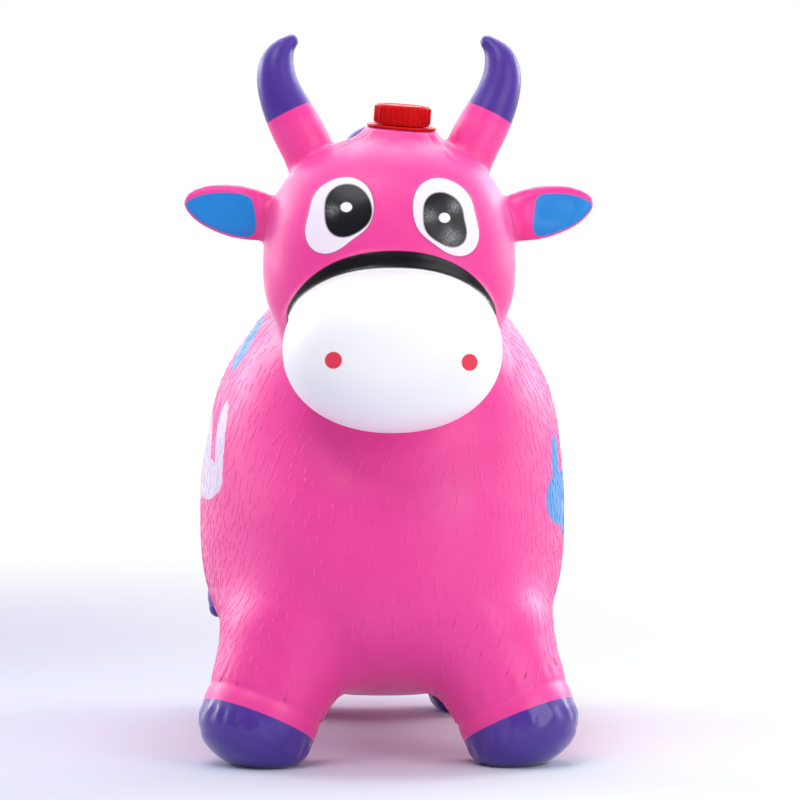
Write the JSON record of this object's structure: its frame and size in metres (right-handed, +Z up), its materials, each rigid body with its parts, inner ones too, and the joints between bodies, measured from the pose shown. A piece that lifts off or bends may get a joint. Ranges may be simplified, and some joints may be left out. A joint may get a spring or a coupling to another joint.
{
  "type": "inflatable animal hopper",
  "caption": "Air-filled cow that a child sits on and bounces, with flexible horns as handles, an air plug in the rump and a sound unit under a screw cap in the crown.",
  "frame": {"origin": "on the floor, under the middle of the object's box", "axes": "+Z up, the cow faces -Y, +X towards the cow's own left side"},
  "size_m": [0.28, 0.55, 0.4988],
  "materials": {
    "pink_skin": "satin soft vinyl with short engraved fur strokes",
    "purple_paint": "sprayed satin paint on soft vinyl",
    "white_paint": "sprayed satin paint on soft vinyl",
    "red_plastic": "moulded, glossy",
    "plug_plastic": "moulded, satin",
    "liner_foam": "closed-cell foam",
    "holder_plastic": "moulded, plain",
    "cell_steel": "plated",
    "contact_brass": "stamped sheet",
    "board_laminate": "solder mask",
    "clear_lens": "clear moulded"
  },
  "bodies": {
    "skin": {"torso": "pink_skin", "neck": "pink_skin", "head": "pink_skin", "muzzle": "white_paint", "mane": "purple_paint", "tail": "pink_skin", "tail_tuft": "purple_paint", "leg_front_left": "pink_skin", "leg_front_right": "pink_skin", "leg_rear_left": "pink_skin", "leg_rear_right": "pink_skin", "hoof_front_left": "purple_paint", "hoof_front_right": "purple_paint", "hoof_rear_left": "purple_paint", "hoof_rear_right": "purple_paint", "unit_cup": "red_plastic", "battery_holder": "holder_plastic", "cell_1": "cell_steel", "cell_2": "cell_steel", "cell_3": "cell_steel", "contact_strip_upper": "contact_brass", "contact_strip_lower": "contact_brass", "circuit_board": "board_laminate", "led_left": "clear_lens", "led_right": "clear_lens", "sounder": "contact_brass", "shake_spring": "cell_steel", "shake_pin": "cell_steel", "board_screw_1": "cell_steel", "board_screw_2": "cell_steel"},
    "left_horn": {"horn_left": "pink_skin", "horn_tip_left": "purple_paint"},
    "right_horn": {"horn_right": "pink_skin", "horn_tip_right": "purple_paint"},
    "left_ear": {"ear_left": "pink_skin"},
    "right_ear": {"ear_right": "pink_skin"},
    "liner": {"cap_liner": "liner_foam"},
    "cap": {"screw_cap": "red_plastic"},
    "plug": {"air_plug": "plug_plastic"}
  },
  "joints": [
    {"name": "horn_left_flex", "type": "hinge", "parent": "skin", "child": "left_horn", "pos_m": [0.054, -0.165, 0.416], "axis": [1, 0, 0], "range_deg": [-10, 10], "stiffness_Nm_per_rad": 0.2},
    {"name": "horn_right_flex", "type": "hinge", "parent": "skin", "child": "right_horn", "pos_m": [-0.054, -0.165, 0.416], "axis": [1, 0, 0], "range_deg": [-10, 10], "stiffness_Nm_per_rad": 0.2},
    {"name": "ear_left_flex", "type": "hinge", "parent": "skin", "child": "left_ear", "pos_m": [0.068, -0.165, 0.371], "axis": [0, 0, 1], "range_deg": [-15, 15], "stiffness_Nm_per_rad": 0.1},
    {"name": "ear_right_flex", "type": "hinge", "parent": "skin", "child": "right_ear", "pos_m": [-0.068, -0.165, 0.371], "axis": [0, 0, 1], "range_deg": [-15, 15], "stiffness_Nm_per_rad": 0.1},
    {"name": "cap_lift", "type": "slide", "parent": "skin", "child": "liner", "axis": [0.0698, -0.1561, 0.9853], "range_m": [0, 0.0045]},
    {"name": "cap_twist", "type": "hinge", "parent": "liner", "child": "cap", "pos_m": [0.008, -0.172, 0.435], "axis": [0.0698, -0.1561, 0.9853], "range_deg": [0, 540]},
    {"name": "plug_pull", "type": "slide", "parent": "skin", "child": "plug", "axis": [0, 1, 0], "range_m": [0, 0.018]}
  ],
  "couplings": [
    {"joint": "cap_lift", "follows": "cap_twist", "m_per_rad": 0.00047746}
  ]
}
